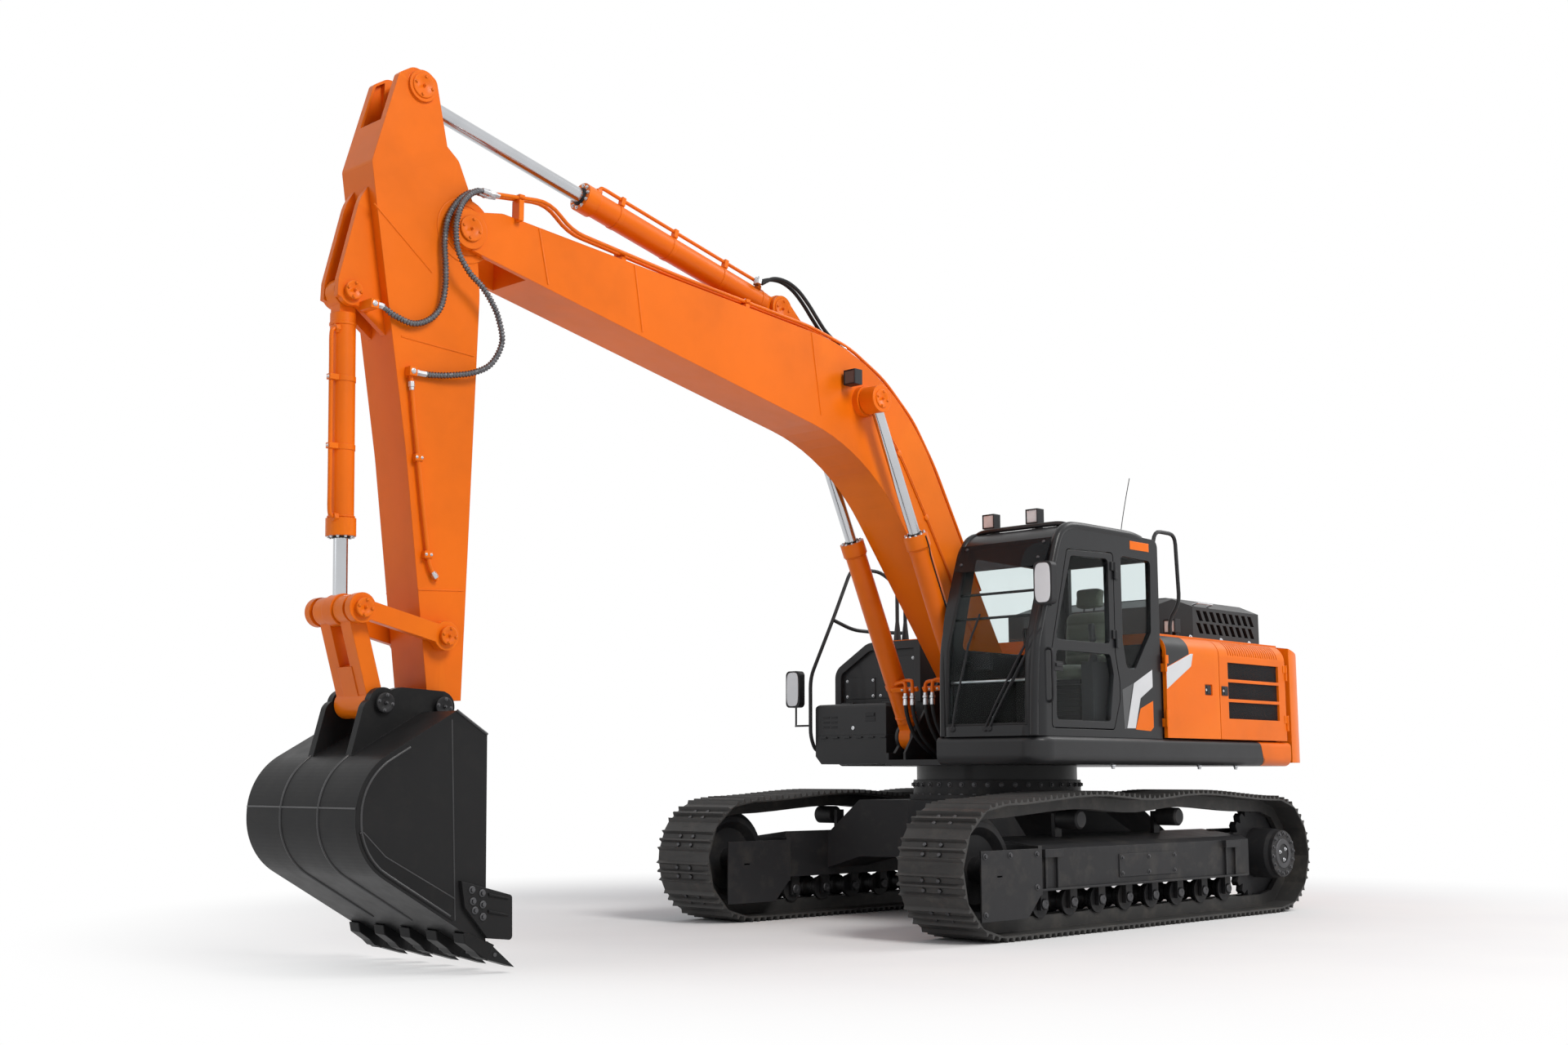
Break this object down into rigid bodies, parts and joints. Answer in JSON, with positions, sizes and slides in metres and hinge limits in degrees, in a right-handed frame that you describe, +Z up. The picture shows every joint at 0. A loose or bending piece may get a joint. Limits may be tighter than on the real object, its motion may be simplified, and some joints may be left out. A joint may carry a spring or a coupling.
{
  "type": "crawler excavator",
  "caption": "Orange crawler excavator: tracked undercarriage, turning upper structure with cab and covers, raised boom, hanging arm and toothed bucket, all jointed.",
  "frame": {"origin": "on the ground, under the swing axis", "axes": "+X forward, the way the boom points; +Y to the operator's left; +Z up"},
  "size_m": [9.9124, 3.375, 5.7139],
  "materials": {
    "orange_paint": "gloss orange paint",
    "dark_paint": "satin dark grey paint",
    "frame_paint": "satin near-black paint",
    "shoe_steel": "dark worn steel",
    "bucket_paint": "satin black paint",
    "rod_chrome": "polished chrome",
    "engine_iron": "bare casting",
    "pane": "tinted glass",
    "seat_cloth": "woven cloth",
    "trim_plastic": "grained black plastic",
    "hose_rubber": "rubber hose with a steel spiral guard"
  },
  "bodies": {
    "undercarriage": {"center_frame": "frame_paint", "slew_ring": "frame_paint", "track_frame_left": "frame_paint", "track_frame_right": "frame_paint", "track_left": "shoe_steel", "track_right": "shoe_steel", "idlers": "frame_paint", "sprockets": "frame_paint", "final_drives": "frame_paint", "track_rollers": "frame_paint", "carrier_rollers": "frame_paint"},
    "house": {"swing_frame": "dark_paint", "side_skirts": "dark_paint", "counterweight": "orange_paint", "engine": "engine_iron", "engine_covers": "orange_paint", "fuel_tank": "dark_paint", "toolbox": "dark_paint", "cab_shell": "dark_paint", "cab_glass": "pane", "seat_unit": "seat_cloth", "controls": "trim_plastic", "handrails": "dark_paint", "mirrors": "trim_plastic", "work_lamps": "trim_plastic"},
    "cab_door": {"cab_door": "dark_paint", "door_glass": "pane"},
    "left_front_door": {"left_front_door": "orange_paint"},
    "left_rear_door": {"left_rear_door": "orange_paint"},
    "right_door": {"right_door": "orange_paint"},
    "engine_hood": {"engine_hood": "dark_paint"},
    "toolbox_lid": {"toolbox_lid": "dark_paint"},
    "boom": {"boom": "orange_paint", "boom_pipes": "orange_paint", "boom_lamp": "trim_plastic"},
    "boom_barrels": {"boom_barrels": "orange_paint"},
    "boom_rods": {"boom_rods": "rod_chrome"},
    "arm_barrel": {"arm_barrel": "orange_paint"},
    "arm_rod": {"arm_rod": "rod_chrome"},
    "arm": {"arm": "orange_paint", "arm_pipes": "orange_paint", "arm_hoses": "hose_rubber"},
    "bucket_barrel": {"bucket_barrel": "orange_paint"},
    "bucket_rod": {"bucket_rod": "rod_chrome"},
    "side_links": {"side_links": "orange_paint"},
    "bucket_link": {"bucket_link": "orange_paint"},
    "bucket": {"bucket": "bucket_paint", "bucket_teeth": "bucket_paint", "side_cutters": "bucket_paint"}
  },
  "joints": [
    {"name": "swing", "type": "hinge", "parent": "undercarriage", "child": "house", "pos_m": [0, 0, 1.15], "axis": [0, 0, 1], "continuous": true},
    {"name": "boom_lift", "type": "hinge", "parent": "house", "child": "boom", "pos_m": [0.257, 0, 1.987], "axis": [0, -1, 0], "range_deg": [-72, 36]},
    {"name": "boom_cylinder_tilt", "type": "hinge", "parent": "house", "child": "boom_barrels", "pos_m": [0.719, 0, 1.511], "axis": [0, -1, 0], "range_deg": [-72.15, 36.33]},
    {"name": "boom_cylinder_stroke", "type": "slide", "parent": "boom_barrels", "child": "boom_rods", "axis": [0.4277, 0, 0.9039], "range_m": [-0.75321, 0.3786]},
    {"name": "arm_crowd", "type": "hinge", "parent": "boom", "child": "arm", "pos_m": [5.8246, 0, 4.715], "axis": [0, 1, 0], "range_deg": [-85, 28], "deforming": ["arm_hoses"]},
    {"name": "arm_cylinder_tilt", "type": "hinge", "parent": "boom", "child": "arm_barrel", "pos_m": [2.76862, 0, 4.7987], "axis": [0, 1, 0], "range_deg": [-3.32, 1.43]},
    {"name": "arm_cylinder_stroke", "type": "slide", "parent": "arm_barrel", "child": "arm_rod", "axis": [0.9735, 0, 0.2286], "range_m": [-1.28562, 0.42618]},
    {"name": "bucket_curl", "type": "hinge", "parent": "arm", "child": "bucket", "pos_m": [5.94682, 0, 1.60687], "axis": [0, 1, 0], "range_deg": [-45, 125]},
    {"name": "bucket_cylinder_tilt", "type": "hinge", "parent": "arm", "child": "bucket_barrel", "pos_m": [6.60365, 0, 4.16982], "axis": [0, 1, 0], "range_deg": [-1.8, 4.1]},
    {"name": "bucket_cylinder_stroke", "type": "slide", "parent": "bucket_barrel", "child": "bucket_rod", "axis": [-0.0293, 0, -0.9996], "range_m": [-0.28596, 0.78722]},
    {"name": "side_link_turn", "type": "hinge", "parent": "arm", "child": "side_links", "pos_m": [5.93407, 0, 2.0488], "axis": [0, 1, 0], "range_deg": [-29.2, 80.21]},
    {"name": "bucket_link_turn", "type": "hinge", "parent": "bucket", "child": "bucket_link", "pos_m": [6.37178, 0, 1.61887], "axis": [0, 1, 0], "range_deg": [-87.1, 31.68]},
    {"name": "cab_door_swing", "type": "hinge", "parent": "house", "child": "cab_door", "pos_m": [0.32, 1.477, 2.3], "axis": [0, 0, 1], "range_deg": [0, 165]},
    {"name": "left_front_door_swing", "type": "hinge", "parent": "house", "child": "left_front_door", "pos_m": [-0.363, 1.5, 1.9], "axis": [0, 0, 1], "range_deg": [-95, 0]},
    {"name": "left_rear_door_swing", "type": "hinge", "parent": "house", "child": "left_rear_door", "pos_m": [-2.381, 1.5, 1.9], "axis": [0, 0, 1], "range_deg": [0, 95]},
    {"name": "right_door_swing", "type": "hinge", "parent": "house", "child": "right_door", "pos_m": [-2.381, -1.5, 1.9], "axis": [0, 0, -1], "range_deg": [0, 95]},
    {"name": "hood_lift", "type": "hinge", "parent": "house", "child": "engine_hood", "pos_m": [-1.126, 0, 2.381], "axis": [0, 1, 0], "range_deg": [0, 65]},
    {"name": "toolbox_lid_lift", "type": "hinge", "parent": "house", "child": "toolbox_lid", "pos_m": [0.465, 0, 1.829], "axis": [0, -1, 0], "range_deg": [0, 85]}
  ],
  "couplings": [
    {"joint": "boom_cylinder_tilt", "follows": "boom_lift", "ratio": 0.9952},
    {"joint": "boom_cylinder_stroke", "follows": "boom_lift", "m_per_rad": 0.5962},
    {"joint": "arm_cylinder_tilt", "follows": "arm_crowd", "ratio": 0.0332},
    {"joint": "arm_cylinder_stroke", "follows": "arm_crowd", "m_per_rad": 0.8639},
    {"joint": "bucket_cylinder_tilt", "follows": "bucket_curl", "ratio": 0.0288},
    {"joint": "bucket_cylinder_stroke", "follows": "bucket_curl", "m_per_rad": 0.359},
    {"joint": "side_link_turn", "follows": "bucket_curl", "ratio": 0.6377},
    {"joint": "bucket_link_turn", "follows": "bucket_curl", "ratio": -0.6928}
  ]
}
